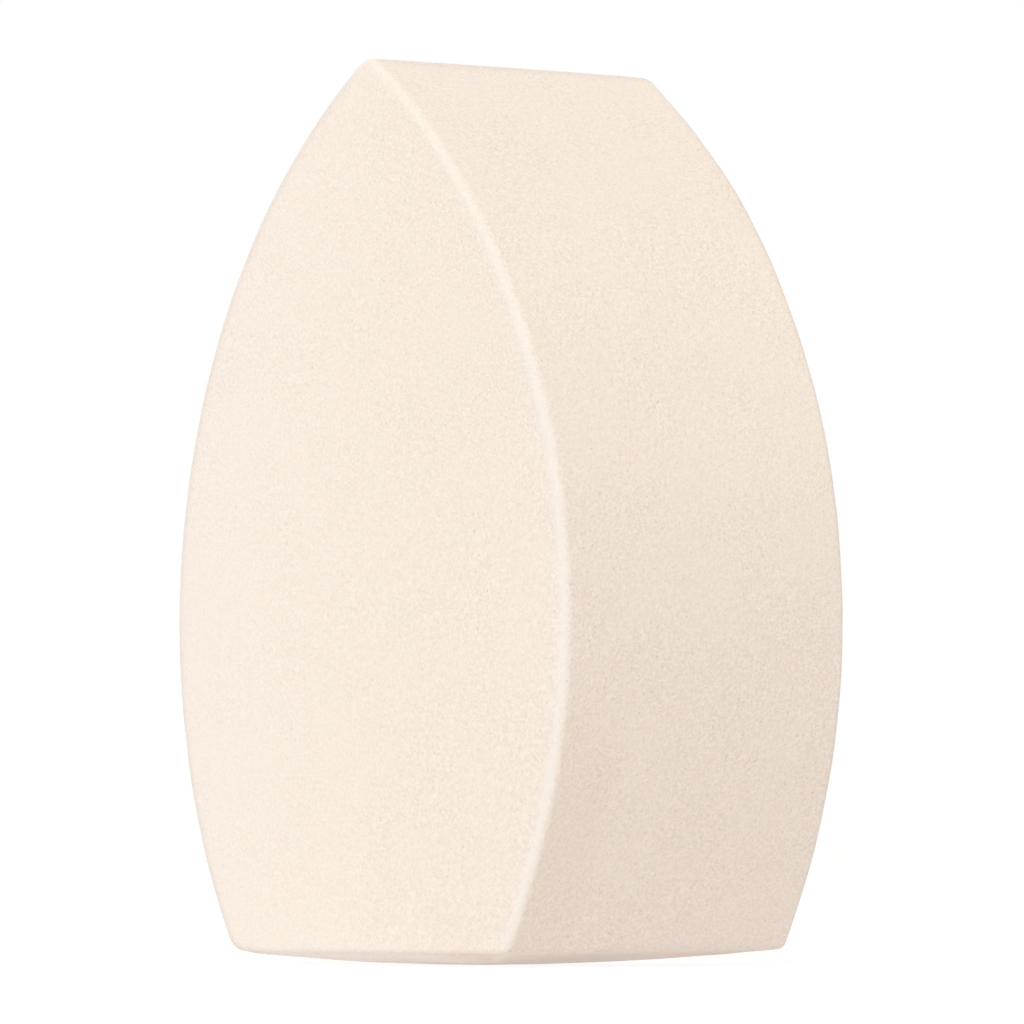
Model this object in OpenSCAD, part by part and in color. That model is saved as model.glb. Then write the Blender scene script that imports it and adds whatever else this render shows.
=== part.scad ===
// Makeup sponge: one block of fine foam, a pointed arch drawn straight from front to back.
// The front and back faces are flat, the two flanks are curved and meet in a ridge along the top,
// and the base is domed a little and cut flat where it rests.
// X runs across the arch, Y from the front face to the back face, Z up.
// The origin is the middle of the resting face.

/* [Block] */
// Height from the resting face to the top ridge
block_h = 65; // [58:0.5:80]
// Width across the flanks at the widest level
block_w = 44; // [40:0.5:54]
// Depth from the front face to the back face
block_d = 26.4; // [18:0.2:36]

/* [Arch] */
// Height of the widest level above the resting face
widest_z = 24.6; // [18:0.2:30]
// Width between the flanks at the base edge
base_w = 31; // [24:0.2:36]
// Radius of the ridge where the flanks meet
ridge_r = 2; // [1.2:0.1:4]

/* [Edges] */
// Radius of the soft edge round the front and back faces
edge_r = 0.6; // [0.4:0.1:1.1]

/* [Base] */
// Height of the base edge above the resting face
base_rise = 1.1; // [0.6:0.1:2.4]
// Depth of the dome that is cut away flat to rest on
rest_cut = 0.5; // [0.3:0.1:1]

/* [Hidden] */
$fn = 128;
foam_colour = [0.965, 0.918, 0.860];
// How far the shapes that only trim the block reach past it
overrun = 1;

half_w = block_w / 2;
half_d = block_d / 2;
ridge_z = block_h - ridge_r;
dome_h = base_rise + rest_cut;

// Radius of an arc that runs square to a chord's middle, from the half chord and the arc's height
function arc_r(half_chord, arc_h) = (half_chord * half_chord + arc_h * arc_h) / (2 * arc_h);

// Flank below the widest level: from the base edge to the widest point, upright there
lower_r = arc_r(widest_z - base_rise, half_w - base_w / 2);
// Flank above the widest level: upright at the widest point and tangent to the ridge's circle
upper_r = arc_r(ridge_z - widest_z, half_w - ridge_r) + ridge_r;
// Angle off the vertical at which the ridge's circle meets each flank
ridge_angle = atan2(upper_r - half_w, ridge_z - widest_z);
// The dome is the lower side of two crossing barrels, one along each axis of the base
barrel_x_r = arc_r(base_w / 2, dome_h);
barrel_y_r = arc_r(half_d, dome_h);

// Half section of a disc as deep as the block, its rim rounded by the soft edge
module disc_section(r) {
  intersection() {
    translate([0, -half_d])
      square([r, block_d]);
    union() {
      translate([0, -half_d])
        square([r - edge_r, block_d]);
      translate([0, edge_r - half_d])
        square([r, block_d - 2 * edge_r]);
      for (side = [-1, 1])
        translate([r - edge_r, side * (half_d - edge_r)])
          circle(edge_r);
    }
  }
}

// Disc that stands on its rim, flat towards the front and the back
module rim_disc(r) {
  rotate([90, 0, 0])
    rotate_extrude()
      disc_section(r);
}

// What lies inside both flanks when their arcs have this radius
module between_flanks(r) {
  intersection_for (side = [-1, 1])
    translate([side * (r - half_w), 0, widest_z])
      rim_disc(r);
}

// Level slab across the whole block
module slab(z_low, z_high) {
  translate([-half_w - overrun, -half_d - overrun, z_low])
    cube([block_w + 2 * overrun, block_d + 2 * overrun, z_high - z_low]);
}

// Wedge over the ridge's axis, out to where its circle meets the flanks
module over_ridge() {
  reach = ridge_r + overrun;
  rotate([90, 0, 0])
    linear_extrude(block_d + 2 * overrun, center = true)
      polygon([[0, 0], [reach * tan(ridge_angle), reach], [-reach * tan(ridge_angle), reach]]);
}

module arch() {
  intersection() {
    between_flanks(lower_r);
    slab(0, widest_z);
  }
  difference() {
    intersection() {
      between_flanks(upper_r);
      slab(widest_z, block_h + overrun);
    }
    translate([0, 0, ridge_z])
      over_ridge();
  }
  translate([0, 0, ridge_z])
    rim_disc(ridge_r);
}

// Barrel whose lowest line lies under the resting face by the depth of the cut
module barrel(r, length) {
  translate([0, 0, r - rest_cut])
    rotate([90, 0, 0])
      cylinder(h = length, r = r, center = true);
}

// What the dome leaves of the block: its barrels trim the base up to just past the base edge,
// where they are already wider than the block, and leave all that is above it
module above_dome() {
  slab(base_rise + overrun, block_h + overrun);
  intersection() {
    barrel(barrel_x_r, block_d + 2 * overrun);
    rotate([0, 0, 90])
      barrel(barrel_y_r, block_w + 2 * overrun);
  }
}

module foam_body() {
  color(foam_colour)
    intersection() {
      arch();
      above_dome();
    }
}

foam_body();
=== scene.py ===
"""Looks of a makeup sponge: one block of fine foam with a pointed-arch outline.

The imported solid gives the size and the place. This script lays a fine mesh over the same
shape, gives it a foam material, and adds the floor, the light and the camera.
Lengths are in metres, in the row frame: X across the arch, Y from the front face to the
back face, Z up from the floor.
"""

import math
import bpy
import numpy as np
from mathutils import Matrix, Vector


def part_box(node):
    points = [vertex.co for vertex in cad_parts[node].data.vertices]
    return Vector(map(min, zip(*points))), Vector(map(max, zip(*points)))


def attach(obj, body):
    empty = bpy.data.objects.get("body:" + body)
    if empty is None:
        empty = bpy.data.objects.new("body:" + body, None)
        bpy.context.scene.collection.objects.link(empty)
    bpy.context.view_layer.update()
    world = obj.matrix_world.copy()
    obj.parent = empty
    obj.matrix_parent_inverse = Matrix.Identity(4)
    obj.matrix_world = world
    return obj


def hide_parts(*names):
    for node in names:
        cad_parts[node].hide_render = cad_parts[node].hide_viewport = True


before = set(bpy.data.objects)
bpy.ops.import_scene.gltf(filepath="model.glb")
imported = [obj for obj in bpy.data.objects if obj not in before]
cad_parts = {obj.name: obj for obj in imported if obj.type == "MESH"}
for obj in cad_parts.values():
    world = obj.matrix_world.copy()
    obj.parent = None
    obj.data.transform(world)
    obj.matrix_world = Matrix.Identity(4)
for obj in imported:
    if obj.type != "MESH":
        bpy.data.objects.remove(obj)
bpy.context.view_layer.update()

MM = 0.001

# Size of the block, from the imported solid
_, BLOCK_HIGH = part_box("foam_body")
HALF_W = BLOCK_HIGH.x
HALF_D = BLOCK_HIGH.y
TOP_Z = BLOCK_HIGH.z

# Shape of the block, as in the CAD source
WIDEST_Z = 24.6 * MM
BASE_HALF_W = 15.5 * MM
BASE_Z = 1.1 * MM
RIDGE_R = 2.0 * MM
EDGE_R = 0.6 * MM
# Radius of the crisp edge round the base, which the solid leaves sharp
BASE_EDGE_R = 0.3 * MM
# What that edge gains towards the front and at its left corner, and over what reach
FRONT_EDGE_MORE, FRONT_EDGE_REACH = 0.15 * MM, 2.5 * MM
LEFT_CORNER_MORE, LEFT_CORNER_REACH = 0.3 * MM, 3 * MM
# How the dome of the base rises: its height at each border as a share of BASE_Z, and the
# power of the curve, higher where the middle is flatter
LEFT_DOME, LEFT_POWER = 1.09, 1.6
RIGHT_DOME, RIGHT_POWER = 1.0, 1.4
FACE_DOME, FACE_POWER = 0.93, 2.6
# Slight lean of the base, up towards the back
BASE_LEAN = 0.0105

# How far the right edges of both faces stray off their lines, in mm: the front one back in
# its lower half and inwards in its upper half, the back one back at the top corner and
# forward under it. All of it fades over a reach inwards from the flank.
FRONT_BACK, FRONT_INWARD = 0.14, 0.28
CORNER_BACK, CORNER_FORWARD = 0.16, 0.19
STRAY_REACH = 12 * MM

# Waves over the whole surface: shortest and longest length, height and number
WAVES = (
    (14 * MM, 30 * MM, 0.030 * MM, 10),
    (2.5 * MM, 6 * MM, 0.008 * MM, 40),
)
WAVE_SEED = 6

# Cells of the mesh: along half the base, up the lower flank, and through the depth
HALF_BASE_CELLS = 64
LOWER_FLANK_CELLS = 88
DEPTH_CELLS = 58
# Cells across the soft edge, and the rings that widen from it onto the flat face
EDGE_CELLS = 9
FACE_RINGS = (0.06 * MM, 0.22 * MM, 0.5 * MM)
# First cells beside the base's corners, the ridge's middle and the soft edge, which is
# narrow so that the shading turns only on the edge
CORNER_CELL = 0.08 * MM
RIDGE_CELL = 0.25 * MM
EDGE_SUPPORT = 0.06 * MM
# Height at which a face's three patches meet, as a share of the ridge's
MEETING_HEIGHT = 0.7


def arc_r(half_chord, arc_h):
    """Radius of the arc that runs square to a chord's middle."""
    return (half_chord**2 + arc_h**2) / (2 * arc_h)


def ease(value, low, high):
    """Rises smoothly from 0 to 1 between low and high."""
    share = np.clip((value - low) / (high - low), 0, 1)
    return share * share * (3 - 2 * share)


def hill(value, middle, reach, power):
    """1 at the middle, falling away past its reach, steeper with a higher power."""
    return np.exp(-(((value - middle) / reach) ** power))


RIDGE_Z = TOP_Z - RIDGE_R
LOWER_R = arc_r(WIDEST_Z - BASE_Z, HALF_W - BASE_HALF_W)
UPPER_R = arc_r(RIDGE_Z - WIDEST_Z, HALF_W - RIDGE_R) + RIDGE_R
# Angle off the vertical at which the ridge's circle meets each flank
RIDGE_ANGLE = math.atan2(UPPER_R - HALF_W, RIDGE_Z - WIDEST_Z)


# The exact surface of the sponge, as signed distances


def outside_flanks(x, z):
    """Distance outside the arch that the flanks and the ridge draw."""
    x = np.abs(x)
    rise = z - WIDEST_Z
    over = z - RIDGE_Z
    upper = np.hypot(x + UPPER_R - HALF_W, rise) - UPPER_R
    lower = np.hypot(x + LOWER_R - HALF_W, rise) - LOWER_R
    ridge = np.hypot(x, over) - RIDGE_R
    on_ridge = (over > 0) & (x < over * math.tan(RIDGE_ANGLE))
    return np.where(on_ridge, ridge, np.where(rise > 0, upper, lower))


def outside_faces(y):
    """Distance outside the front and back faces."""
    return np.abs(y) - HALF_D


def base_height(x, y):
    """Height of the domed base over the level of its middle."""
    to_side, to_face = np.abs(x / BASE_HALF_W), np.abs(y / HALF_D)
    left, right = LEFT_DOME * to_side**LEFT_POWER, RIGHT_DOME * to_side**RIGHT_POWER
    across, deep = np.where(x < 0, left, right), FACE_DOME * to_face**FACE_POWER
    return BASE_Z * np.maximum(across, deep) + BASE_LEAN * y


# The lean moves the lowest point off the middle, and it is that point that rests on the floor
NEAR_MIDDLE = np.mgrid[-8:8:81j, -8:8:81j] * MM
BASE_LOWEST = base_height(*NEAR_MIDDLE).min()


def outside_base(x, y, z):
    """Distance below the base."""
    return base_height(x, y) - BASE_LOWEST - z


def rounded_join(a, b, radius):
    """Distance outside what lies within both a and b, the edge between them rounded."""
    a, b = a + radius, b + radius
    corner = np.hypot(np.maximum(a, 0), np.maximum(b, 0))
    return np.minimum(np.maximum(a, b), 0) + corner - radius


def outside_foam(points):
    """Distance outside the whole block."""
    x, y, z = points.T
    sides = rounded_join(outside_flanks(x, z), outside_faces(y), EDGE_R)
    near_front = np.clip((-y - HALF_D) / FRONT_EDGE_REACH + 1, 0, 1)
    near_left = np.clip((-x - BASE_HALF_W) / LEFT_CORNER_REACH + 1, 0, 1)
    base_edge_r = BASE_EDGE_R + near_front * (FRONT_EDGE_MORE + LEFT_CORNER_MORE * near_left)
    return rounded_join(sides, outside_base(x, y, z), base_edge_r)


def slope(points, step=MM / 1000):
    """Gradient of the distance, which points straight out of the surface."""
    sides = [
        outside_foam(points + step * axis) - outside_foam(points - step * axis)
        for axis in np.eye(3)
    ]
    return np.stack(sides, axis=1) / (2 * step)


def settle(points, rounds=6, least=0.25):
    """Moves points along the gradient onto the surface. A weak gradient counts as least."""
    for _ in range(rounds):
        out = slope(points)
        steepness = np.maximum((out**2).sum(1), least)
        points = points - out * (outside_foam(points) / steepness)[:, None]
    return points


# The mesh: rings of cells round the block, and each face filled by three patches


def spread(length, cells, first, last, growth=0.2, samples=20001, halvings=60):
    """Places from 0 to 1 whose cells grow from first and from last to an even size.

    That size is found by halving, so that the cells add up to the number asked for."""
    s = np.linspace(0, length, samples)
    ends = np.minimum(first + growth * s, last + growth * (length - s))
    low, high = 0, length
    for _ in range(halvings):
        even = (low + high) / 2
        density = 1 / np.minimum(ends, even)
        count = np.concatenate([[0], np.cumsum((density[1:] + density[:-1]) / 2)])
        count *= s[1]
        low, high = (even, high) if count[-1] > cells else (low, even)
    return np.interp(np.linspace(0, count[-1], cells + 1), count, s) / length


def arc(centre_x, centre_z, radius, start, end, count=600):
    """Points in X and Z along an arc, its angles counted up from the right."""
    angle = np.linspace(start, end, count)
    return np.stack([centre_x + radius * np.cos(angle), centre_z + radius * np.sin(angle)], 1)


def right_flank(inset, bottom_z):
    """The right flank and half the ridge, inset from the outline, from the bottom up."""
    lower_r = LOWER_R - inset
    start = -math.asin((WIDEST_Z - bottom_z) / lower_r)
    joint = math.pi / 2 - RIDGE_ANGLE
    return np.concatenate(
        [
            arc(HALF_W - LOWER_R, WIDEST_Z, lower_r, start, 0),
            arc(HALF_W - UPPER_R, WIDEST_Z, UPPER_R - inset, 0, joint)[1:],
            arc(0, RIDGE_Z, RIDGE_R - inset, joint, math.pi / 2)[1:],
        ]
    )


def along(line, places):
    """Points at these parts of a line's length."""
    steps = np.linalg.norm(np.diff(line, axis=0), axis=1)
    length = np.concatenate([[0], np.cumsum(steps)])
    return np.stack([np.interp(places * length[-1], length, c) for c in line.T], 1)


FLANK_LENGTH = np.linalg.norm(np.diff(right_flank(0, BASE_Z), axis=0), axis=1).sum()
FLANK_PLACES = spread(
    FLANK_LENGTH, HALF_BASE_CELLS + LOWER_FLANK_CELLS, CORNER_CELL, RIDGE_CELL
)
BASE_PLACES = spread(2 * BASE_HALF_W, 2 * HALF_BASE_CELLS, CORNER_CELL, CORNER_CELL)


def ring(inset, base_inset):
    """One ring of points in X and Z: the base, up the right flank, and down the left."""
    right = along(right_flank(inset, BASE_Z + base_inset), FLANK_PLACES)
    corner_x = right[0, 0]
    base = np.stack(
        [corner_x * (2 * BASE_PLACES - 1), np.full(len(BASE_PLACES), right[0, 1])], 1
    )
    left = right[::-1] * (-1, 1)
    return np.concatenate([base[:-1], right[:-1], left[:-1]])


def ring_at(inset, base_inset, y, base_y):
    """One ring in space. Its depth runs from y on the flanks to base_y along the base."""
    flat = ring(inset, base_inset)
    on_base = np.arange(len(flat)) <= 2 * HALF_BASE_CELLS
    from_corner = np.where(on_base, -flat[0, 0] - np.abs(flat[:, 0]), 0)
    depth = y + (base_y - y) * ease(from_corner, 0, 2 * EDGE_R)
    return np.stack([flat[:, 0], depth, flat[:, 1]], 1)


def rings():
    """All rings, from the one that bounds the front face's patches to the back's."""
    front = [
        ring_at(EDGE_R + g, BASE_EDGE_R + g, -HALF_D, -HALF_D) for g in FACE_RINGS[::-1]
    ]
    for angle in np.linspace(math.pi / 2, 0, EDGE_CELLS + 1):
        inward, back = 1 - math.cos(angle), 1 - math.sin(angle)
        front.append(
            ring_at(
                EDGE_R * inward,
                BASE_EDGE_R * inward,
                EDGE_R * back - HALF_D,
                BASE_EDGE_R * back - HALF_D,
            )
        )
    places = spread(2 * (HALF_D - EDGE_R), DEPTH_CELLS, EDGE_SUPPORT, EDGE_SUPPORT, growth=0.8)
    middle = [
        ring_at(0, 0, t * (HALF_D - EDGE_R), t * (HALF_D - BASE_EDGE_R))
        for t in 2 * places[1:-1] - 1
    ]
    rear = [r * (1, -1, 1) for r in front[::-1]]
    return np.array(front + middle + rear)


def blend_patch(bottom, top, left, right):
    """Points inside four border lines, bottom and top running right, the others up."""
    u = np.linspace(0, 1, len(bottom))[:, None, None]
    v = np.linspace(0, 1, len(left))[None, :, None]
    across = (1 - v) * bottom[:, None] + v * top[:, None]
    up = (1 - u) * left[None] + u * right[None]
    corners = (
        (1 - u) * (1 - v) * bottom[0]
        + u * (1 - v) * bottom[-1]
        + (1 - u) * v * top[0]
        + u * v * top[-1]
    )
    return across + up - corners


def face_grid(border):
    """Points in X and Z and quads that fill a border ring with three patches.

    The patches meet at one point inside, and split the base and both flanks.
    The border's own points come first."""
    p, q, n = HALF_BASE_CELLS, LOWER_FLANK_CELLS, len(border)
    points = list(border)
    centre = np.array([0, border[2 * p + q, 1] * MEETING_HEIGHT])

    def inner_line(border_index, cells):
        """Indices of a straight line of points from the border to where the patches meet."""
        line = np.linspace(border[border_index], centre, cells + 1)
        first = len(points)
        points.extend(line[1:-1])
        return np.array([border_index, *range(first, len(points)), centre_index])

    points.append(centre)
    centre_index = n
    from_base = inner_line(p, q)
    from_right = inner_line(2 * p + q, p)
    from_left = inner_line(4 * p + q, p)
    sides = np.arange(n + 1) % n
    patches = [
        (sides[: p + 1], from_left, sides[n - q :][::-1], from_base),
        (sides[p : 2 * p + 1], from_right[::-1], from_base, sides[2 * p : 2 * p + q + 1]),
        (
            from_right[::-1],
            sides[3 * p + q : 4 * p + q + 1][::-1],
            from_left[::-1],
            sides[2 * p + q : 3 * p + q + 1],
        ),
    ]
    quads = []
    for bottom, top, left, right in patches:
        at = np.array(points)
        inside = blend_patch(at[bottom], at[top], at[left], at[right])[1:-1, 1:-1]
        grid = np.empty((len(bottom), len(left)), int)
        grid[:, 0], grid[:, -1], grid[0], grid[-1] = bottom, top, left, right
        first = len(points)
        grid[1:-1, 1:-1] = first + np.arange(inside[..., 0].size).reshape(inside.shape[:2])
        points.extend(inside.reshape(-1, 2))
        corners = [grid[:-1, :-1], grid[1:, :-1], grid[1:, 1:], grid[:-1, 1:]]
        quads.append(np.stack(corners, -1).reshape(-1, 4))
    quads = np.concatenate(quads)
    return relax(np.array(points), quads, fixed=n), quads


def relax(points, quads, fixed, rounds=300, pull=0.8):
    """Evens the spacing of all points after the first fixed ones."""
    a = np.concatenate([quads[:, k] for k in range(4)])
    b = np.concatenate([quads[:, (k + 1) % 4] for k in range(4)])
    a, b = np.concatenate([a, b]), np.concatenate([b, a])
    shared = np.bincount(a, minlength=len(points))
    for _ in range(rounds):
        mean = np.stack(
            [np.bincount(a, c, len(points)) for c in points[b].T], 1
        ) / shared[:, None]
        points[fixed:] += pull * (mean - points)[fixed:]
    return points


def foam_mesh():
    """Points and quads of the whole block, closed and lying on the exact surface."""
    all_rings = rings()
    count, n = all_rings.shape[:2]
    fill, quads = face_grid(all_rings[0][:, [0, 2]])
    inner = fill[n:]
    front = np.stack([inner[:, 0], np.full(len(inner), -HALF_D), inner[:, 1]], 1)
    points = np.concatenate([all_rings.reshape(-1, 3), front, front * (1, -1, 1)])
    front_index = np.concatenate([np.arange(n), count * n + np.arange(len(inner))])
    back_index = np.concatenate(
        [(count - 1) * n + np.arange(n), count * n + len(inner) + np.arange(len(inner))]
    )
    at = np.arange(count * n).reshape(count, n)
    beside = np.roll(at, -1, axis=1)
    band = np.stack([at[:-1], at[1:], beside[1:], beside[:-1]], -1).reshape(-1, 4)
    faces = np.concatenate([band, front_index[quads], back_index[quads][:, ::-1]])
    return settle(points), faces


def stray(points):
    """Draws the right edges of both faces a little off their lines, as on the real block."""
    x, y, z = points.T
    beside_flank = np.clip(1 + outside_flanks(x, z) / STRAY_REACH, 0, 1) ** 2
    to_front = 0.5 - y / (2 * HALF_D)
    front = to_front * beside_flank * ease(x, 0, 2.5 * MM)
    back_shift = FRONT_BACK * hill(z, 24 * MM, 15 * MM, 4)
    # The inward shift fades again towards the top
    near_top = ease(z, 61 * MM, TOP_Z)
    inward_shift = FRONT_INWARD * ease(z, 36 * MM, 56 * MM) * (1 - 0.8 * near_top)
    rear = (1 - to_front) * beside_flank * ease(x, -3 * MM, 1 * MM)
    corner_shift = CORNER_BACK * ease(z, 63 * MM, TOP_Z)
    corner_shift -= CORNER_FORWARD * hill(z, 59.8 * MM, 3.4 * MM, 2)
    strayed = points.copy()
    strayed[:, 0] -= front * inward_shift * MM
    strayed[:, 1] += (front * back_shift + rear * corner_shift) * MM
    return strayed


def swell(points, out):
    """Slight unevenness of a soft block: long, shallow waves along the normals.

    The block is then set down again, its lowest point on the floor."""
    rng = np.random.default_rng(WAVE_SEED)
    height = np.zeros(len(points))
    for shortest, longest, size, waves in WAVES:
        for _ in range(waves):
            way = rng.normal(size=3)
            way *= 2 * math.pi / rng.uniform(shortest, longest) / np.linalg.norm(way)
            wave = np.sin(points @ way + rng.uniform(0, 2 * math.pi))
            height += size * math.sqrt(2 / waves) * wave
    swollen = points + out * height[:, None]
    swollen[:, 2] -= swollen[:, 2].min()
    return swollen


def rim_share(points):
    """Share of each point in the rims' smoother skin and its painted highlight, on both faces.
    """
    x, y, z = points.T
    # Place across the soft edge: below zero towards the face, above it towards the flank
    across = outside_flanks(x, z) - outside_faces(y)
    # The skin comes in over a short way on the face, and goes out on the flank
    rise = np.clip(1 + (across + EDGE_R) / (0.35 * MM), 0, 1)
    fall = np.clip(0.9 - across / (0.5 * MM), 0, 1)
    # Skin and painted highlight are fainter towards the ridge and round the left rim
    high = np.clip((z - 44 * MM) / (14 * MM), 0, 1)
    left = np.clip(0.5 - x / (8 * MM), 0, 1)
    return rise * fall * (0.85 - 0.4 * high) * (1 - 0.7 * left)


def painted_shade_share(points):
    """How much painted shade each point has along the ridge, the left rims and high on the back
    rim.
    """
    x, y, z = points.T
    in_flanks, in_faces = -outside_flanks(x, z), -outside_faces(y)
    ridge = ease(z, TOP_Z - 0.65 * MM, TOP_Z - 0.05 * MM)
    ridge *= ease(y + HALF_D, 0.3 * MM, 1.2 * MM)
    # The rims fade away from their edge, on each side over its own reach
    left = 0.85 * ease(-x, 0, 3 * MM)
    left *= 1 - np.maximum(ease(in_flanks, 0.5 * MM, 1.0 * MM), ease(in_faces, 0, 0.6 * MM))
    back = 0.6 * ease(z, 42 * MM, 52 * MM) * (y > 0)
    back *= 1 - np.maximum(
        ease(in_faces, 0.3 * MM, 1.1 * MM), ease(in_flanks, 0.3 * MM, 0.6 * MM)
    )
    return np.maximum(ridge, np.maximum(left, back))


def new_mesh_object(name, points, faces):
    """An object with a smooth-shaded mesh, linked into the scene."""
    mesh = bpy.data.meshes.new(name)
    mesh.from_pydata(points.tolist(), [], faces.tolist())
    mesh.polygons.foreach_set("use_smooth", [True] * len(mesh.polygons))
    mesh.update()
    obj = bpy.data.objects.new(name, mesh)
    bpy.context.scene.collection.objects.link(obj)
    return obj


# Materials


class Nodes:
    """A node tree under construction."""

    def __init__(self, owner):
        owner.use_nodes = True
        self.tree = owner.node_tree
        self.tree.nodes.clear()

    def add(self, kind, settings=None, **inputs):
        """Adds a node. Each input is a value or another's output, and is named by its
        socket, or by _ and the socket's number where names repeat."""
        node = self.tree.nodes.new(kind)
        for key, value in (settings or {}).items():
            setattr(node, key, value)
        for key, value in inputs.items():
            socket = node.inputs[int(key[1:])] if key[0] == "_" else node.inputs[key]
            if isinstance(value, bpy.types.NodeSocket):
                self.tree.links.new(value, socket)
            else:
                socket.default_value = value
        return node

    def math(self, operation, a, b=0.0, c=0.0):
        return self.add("ShaderNodeMath", {"operation": operation}, _0=a, _1=b, _2=c).outputs[0]

    def product(self, first, *others):
        for other in others:
            first = self.math("MULTIPLY", first, other)
        return first

    def ramp(self, value, low, high, to_low=0.0, to_high=1.0):
        """Maps low..high smoothly onto to_low..to_high."""
        ends = {"From Min": low, "From Max": high, "To Min": to_low, "To Max": to_high}
        settings = {"interpolation_type": "SMOOTHSTEP"}
        return self.add("ShaderNodeMapRange", settings, Value=value, **ends).outputs["Result"]

    def mix(self, share, a, b, blend="MIX"):
        settings = {"data_type": "RGBA", "blend_type": blend}
        return self.add("ShaderNodeMix", settings, _0=share, _6=a, _7=b).outputs[2]

    def attribute(self, name):
        return self.add("ShaderNodeAttribute", {"attribute_name": name}).outputs["Fac"]

    def locate(self):
        """Adds the place on the object, and keeps its axes for fade and window."""
        place = self.add("ShaderNodeTexCoord").outputs["Object"]
        self.axes = self.add("ShaderNodeSeparateXYZ", _0=place).outputs
        return place

    def fade(self, axis, low, high, to_low=0.0, to_high=1.0):
        """A ramp along an axis of the object, between two places in mm."""
        return self.ramp(self.axes[axis], low * MM, high * MM, to_low, to_high)

    def window(self, axis, low, full, still, high):
        """Rises along an axis from low to full, and falls from still to high, in mm."""
        rise, fall = self.fade(axis, low, full), self.fade(axis, still, high, 1.0, 0.0)
        return self.product(rise, fall)


# Sizes of the foam's patches, clouds, cell walls and open cells
PATCH_SIZE, CLOUD_SIZE = 6.0 * MM, 2.2 * MM
WALL_SIZE, CELL_SIZE = 0.26 * MM, 0.6 * MM
# How deep the open cells are beside the cell walls' height of 1, and that height itself
PIT_DEPTH = 0.25
GRAIN_RELIEF = 0.11 * MM
# How strongly the grain's height shows in the colour, as painted shade in its hollows and
# painted light on its crests
GRAIN_CONTRAST = 2.4

# Colours of the foam: two faint clouds of cream, painted light that makes it paler towards the
# left and high on the right flank, and the smoother skin of the soft edges with a painted
# highlight on it
YELLOW_CREAM = (0.912, 0.806, 0.698, 1)
PINK_CREAM = (0.912, 0.804, 0.708, 1)
PAINTED_LIGHT_LEFT_CREAM = (0.930, 0.825, 0.735, 1)
PAINTED_LIGHT_HIGH_CREAM = (0.931, 0.823, 0.713, 1)
SKIN_AND_PAINTED_HIGHLIGHT = (0.912, 0.832, 0.760, 1)
# Tints over those: painted shade low beside the front edge and along the dim rims, and
# painted shade in the hollows and painted light on the crests of the grain
PAINTED_SHADE_FOOT_TINT = (0.991, 0.977, 0.962, 1)
PAINTED_SHADE_DIM_TINT = (0.925, 0.925, 0.925, 1)
PAINTED_SHADE_HOLLOW_TINT = (0.90, 0.88, 0.86, 1)
PAINTED_LIGHT_CREST_TINT = (1.07, 1.08, 1.09, 1)


def grain_height(n, noise, place, rim):
    """Height of the foam's surface about its mean: cell walls and open cells."""
    # Grain is stronger by the base, weaker on the front face and weakest low on its left
    by_height = n.fade("Z", 2, 14, 1.04, 0.92)
    on_left = n.fade("Z", 26, 42, 0.50, 0.70)
    by_side = n.fade("X", -24, 16, on_left, 0.90)
    on_front = n.fade("Y", -13.1, -12.6, 1.0, 0.0)
    level = n.math("MULTIPLY_ADD", on_front, n.math("SUBTRACT", by_side, by_height), by_height)
    # It also comes in patches, and is weaker on the rims
    patches = n.ramp(noise(PATCH_SIZE, Detail=1.0), 0.3, 0.7, 0.55, 0.85)
    strength = n.product(patches, n.ramp(rim, 0.0, 1.0, 1.0, 0.4), level)
    walls = noise(WALL_SIZE, Detail=2.0, Roughness=0.7)
    cells = n.add("ShaderNodeTexVoronoi", Vector=place, Scale=1 / CELL_SIZE).outputs["Distance"]
    pits = n.ramp(cells, 0.05, 0.22, 1.0, 0.0)
    height = n.math("SUBTRACT", walls, n.math("MULTIPLY", pits, PIT_DEPTH))
    return n.product(n.math("SUBTRACT", height, 0.5), strength)


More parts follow.
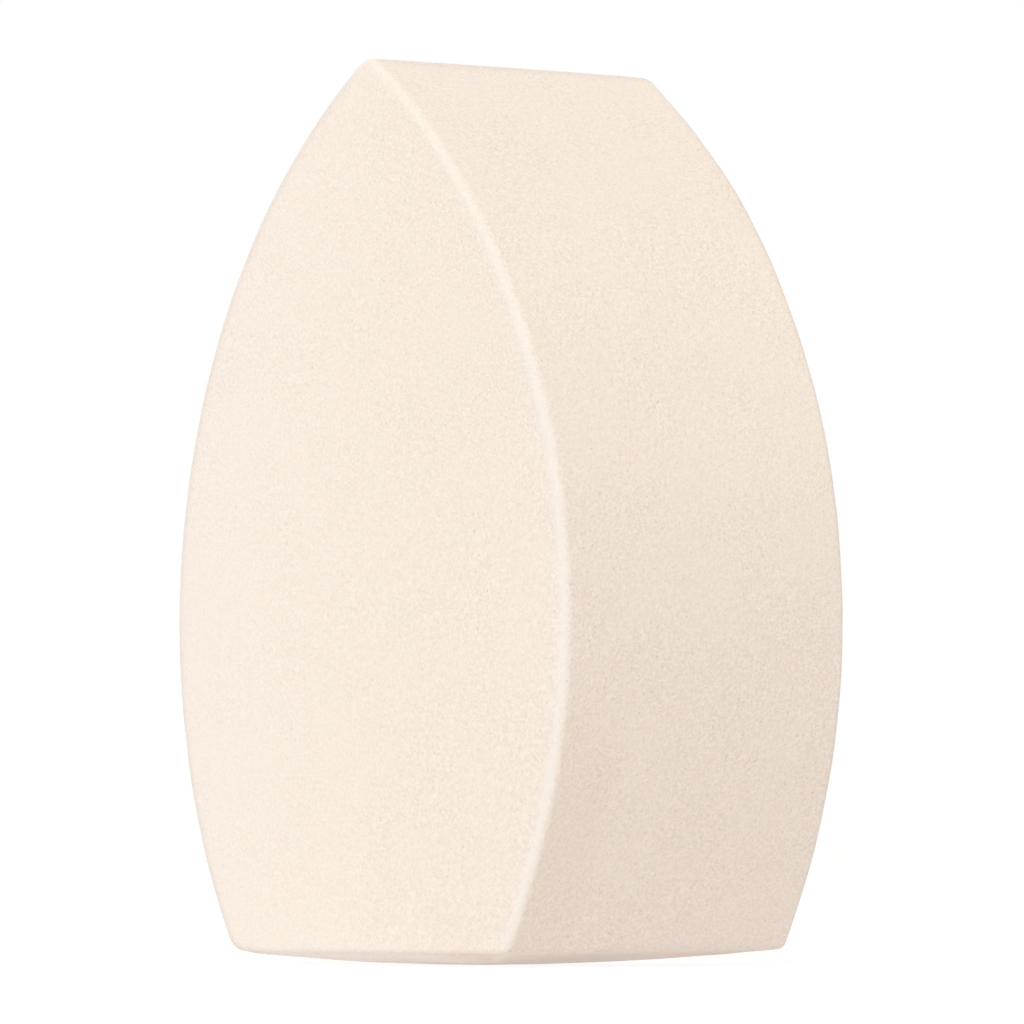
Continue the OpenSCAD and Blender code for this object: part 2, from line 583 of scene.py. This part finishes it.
def foam_colour(n, noise, rim, height):
    """Cream with faint clouds and painted light and shade by place, paler skin with a painted
    highlight on the rims, painted shade in the hollows and painted light on the crests of the
    grain.
    """
    clouds = n.ramp(noise(CLOUD_SIZE, Detail=2.0), 0.3, 0.7)
    cream = n.mix(clouds, YELLOW_CREAM, PINK_CREAM)
    # Painted light: the cream is paler towards the left
    cream = n.mix(n.fade("X", -20, 14, 1.0, 0.0), cream, PAINTED_LIGHT_LEFT_CREAM)
    # Painted light: the cream is paler high on the right flank
    from_middle = n.math("ABSOLUTE", n.axes["Y"])
    off_faces = n.ramp(from_middle, 12.3 * MM, 12.9 * MM, 1.0, 0.0)
    high = n.product(n.window("Z", 25, 41, 49, 60), n.fade("X", 4, 14), off_faces)
    cream = n.mix(high, cream, PAINTED_LIGHT_HIGH_CREAM)
    # Painted shade: darker and warmer low on the right flank, beside the front edge
    painted_foot_shade = n.product(
        n.window("Y", -12.9, -12.4, -9.5, -6),
        n.fade("Z", 15, 22, 1.0, 0.0),
        n.fade("X", 10, 13),
    )
    cream = n.mix(painted_foot_shade, cream, PAINTED_SHADE_FOOT_TINT, "MULTIPLY")
    # The rims' smoother skin, with a painted highlight, strongest along the right edges
    skin_with_painted_light_and_shade = n.mix(rim, cream, SKIN_AND_PAINTED_HIGHLIGHT)
    # Painted shade along the ridge, the left rims and high on the back rim
    skin_with_painted_light_and_shade = n.mix(n.attribute("painted_shade"), skin_with_painted_light_and_shade, PAINTED_SHADE_DIM_TINT, "MULTIPLY")
    # Painted shade in the hollows of the grain and painted light on its crests
    painted_crest_share = n.math("ADD", n.math("MULTIPLY", height, GRAIN_CONTRAST), 0.5)
    hollow_painted_shade = n.mix(1.0, skin_with_painted_light_and_shade, PAINTED_SHADE_HOLLOW_TINT, "MULTIPLY")
    crest_painted_light = n.mix(1.0, skin_with_painted_light_and_shade, PAINTED_LIGHT_CREST_TINT, "MULTIPLY")
    return n.mix(painted_crest_share, hollow_painted_shade, crest_painted_light)


def foam_material():
    """Matt foam with a fine grain, a little light passing under its surface."""
    material = bpy.data.materials.new("foam")
    n = Nodes(material)
    place = n.locate()
    rim = n.attribute("rim")

    def noise(size, **more):
        return n.add("ShaderNodeTexNoise", Vector=place, Scale=1 / size, **more).outputs["Fac"]

    height = grain_height(n, noise, place, rim)
    bump = n.add("ShaderNodeBump", Strength=1.0, Distance=GRAIN_RELIEF, Height=height)
    shader = n.add(
        "ShaderNodeBsdfPrincipled",
        **{
            "Base Color": foam_colour(n, noise, rim, height),
            "Roughness": 0.95,
            "Diffuse Roughness": 0.3,
            "Specular IOR Level": 0.15,
            "Subsurface Weight": 0.1,
            "Subsurface Radius": (1.0, 0.7, 0.5),
            "Subsurface Scale": 0.3 * MM,
            "Sheen Weight": 0.05,
            "Sheen Roughness": 0.6,
            "Normal": bump.outputs["Normal"],
        },
    )
    n.add("ShaderNodeOutputMaterial", Surface=shader.outputs[0])
    return material


# The table's glow, and the warmer glow under the sponge's right side
GLOW_TINT = (0.975, 0.970, 1, 1)
WARM_GLOW_TINT = (0.926, 0.868, 0.860, 1)


def floor_material():
    """A pale light table. To the camera it shows white, and keeps a faint shadow."""
    material = bpy.data.materials.new("pale_floor")
    n = Nodes(material)

    def table(pale, colour, strength):
        """A floor of this paleness that also gives out light."""
        diffuse = n.add("ShaderNodeBsdfDiffuse", Color=(pale, pale, pale, 1)).outputs[0]
        glow = n.add("ShaderNodeEmission", Color=colour, Strength=strength).outputs[0]
        return n.add("ShaderNodeAddShader", _0=diffuse, _1=glow).outputs[0]

    place = n.locate()
    reach = n.add("ShaderNodeVectorMath", {"operation": "LENGTH"}, _0=place).outputs["Value"]

    def ring_ramp(low, high, to_low, to_high):
        """A ramp outwards from under the sponge's middle, between two radii in mm."""
        return n.ramp(reach, low * MM, high * MM, to_low, to_high)

    # It glows a little more under the front edge and by the right flank's foot, and less
    # under the sponge's middle
    front = n.product(n.window("Y", -14.5, -13, -12, -4), ring_ramp(17, 23, 0.09, 0.0))
    right = n.product(n.fade("X", 16, 18, 0.0, 0.055), ring_ramp(22, 34, 1.0, 0.0))
    middle = ring_ramp(6, 12, 0.09, 0.0)
    near = ring_ramp(20, 60, 0.680, 0.633)
    glow = n.math("SUBTRACT", n.math("ADD", near, n.math("ADD", front, right)), middle)
    tint = n.mix(n.window("X", 5, 11, 15, 17), GLOW_TINT, WARM_GLOW_TINT)
    # What lights the sponge, and what the camera sees
    camera_ray = n.add("ShaderNodeLightPath").outputs["Is Camera Ray"]
    lit, shown = table(0.2, tint, glow), table(0.28, (1, 1, 1, 1), 0.80)
    surface = n.add("ShaderNodeMixShader", _0=camera_ray, _1=lit, _2=shown)
    n.add("ShaderNodeOutputMaterial", Surface=surface.outputs[0])
    return material


# Piece


def make_sponge():
    """The foam block, which stands for the CAD solid."""
    points, faces = foam_mesh()
    out = slope(points)
    out /= np.maximum(np.linalg.norm(out, axis=1), 1e-9)[:, None]
    sponge = new_mesh_object("sponge", swell(stray(points), out), faces)
    # Per point: the rims' smoother skin with its painted highlight, and the painted shade
    for name, values in (("rim", rim_share(points)), ("painted_shade", painted_shade_share(points))):
        layer = sponge.data.attributes.new(name, "FLOAT", "POINT")
        layer.data.foreach_set("value", values.astype(np.float32))
    sponge.data.materials.append(foam_material())
    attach(sponge, "root")
    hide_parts("foam_body")


# Stage


def make_floor(half=3.0):
    """A square floor, its half side in metres."""
    corners = np.array([(-half, -half, 0), (half, -half, 0), (half, half, 0), (-half, half, 0)])
    floor = new_mesh_object("floor", corners, np.array([[0, 1, 2, 3]]))
    floor.data.materials.append(floor_material())


def make_light():
    """Even fill from all round and a soft key from above, left of the camera."""
    world = bpy.data.worlds.new("studio")
    bpy.context.scene.world = world
    n = Nodes(world)
    warm_white = (1.0, 0.937, 0.873, 1)
    fill = n.add("ShaderNodeBackground", Color=warm_white, Strength=0.782).outputs[0]
    white = n.add("ShaderNodeBackground", Color=(1, 1, 1, 1), Strength=1.0).outputs[0]
    # The camera, gloss and glass see plain white
    rays = n.add("ShaderNodeLightPath").outputs
    shown = n.math("MAXIMUM", rays["Is Camera Ray"], rays["Is Glossy Ray"])
    shown = n.math("MAXIMUM", shown, rays["Is Transmission Ray"])
    surface = n.add("ShaderNodeMixShader", _0=shown, _1=fill, _2=white).outputs[0]
    n.add("ShaderNodeOutputWorld", Surface=surface)

    azimuth, elevation, distance = math.radians(30), math.radians(34), 1.5
    lamp = bpy.data.lights.new("key", "AREA")
    lamp.shape = "DISK"
    lamp.size = 0.8
    lamp.color = (0.84, 1.0, 1.095)
    # Irradiance that the lamp gives the sponge, where the white world gives 1
    irradiance = 0.411
    lamp.energy = irradiance * math.pi**2 * distance**2
    key = bpy.data.objects.new("key", lamp)
    bpy.context.scene.collection.objects.link(key)
    way = Vector(
        (
            math.sin(azimuth) * math.cos(elevation),
            -math.cos(azimuth) * math.cos(elevation),
            math.sin(elevation),
        )
    )
    middle = Vector((0, 0, TOP_Z / 2))
    key.location = middle + way * distance
    key.rotation_euler = way.to_track_quat("Z", "Y").to_euler()


def make_camera():
    """A long lens, not far above the level of the base, looking at the front right edge."""
    azimuth = math.radians(49.99)
    distance, eye_z = 655.1 * MM, 9.18 * MM
    aim_z, aim_right = 32.745 * MM, 0.375 * MM
    focal_px, image_px = 9051, 1024
    data = bpy.data.cameras.new("camera")
    data.sensor_width = 36
    data.lens = focal_px / image_px * data.sensor_width
    data.clip_start, data.clip_end = 0.05, 20
    camera = bpy.data.objects.new("camera", data)
    bpy.context.scene.collection.objects.link(camera)
    camera.location = (distance * math.sin(azimuth), -distance * math.cos(azimuth), eye_z)
    aim = Vector((aim_right * math.cos(azimuth), aim_right * math.sin(azimuth), aim_z))
    camera.rotation_euler = (aim - camera.location).to_track_quat("-Z", "Y").to_euler()
    bpy.context.scene.camera = camera


make_sponge()
make_floor()
make_light()
make_camera()
bpy.context.scene.view_settings.view_transform = "Standard"
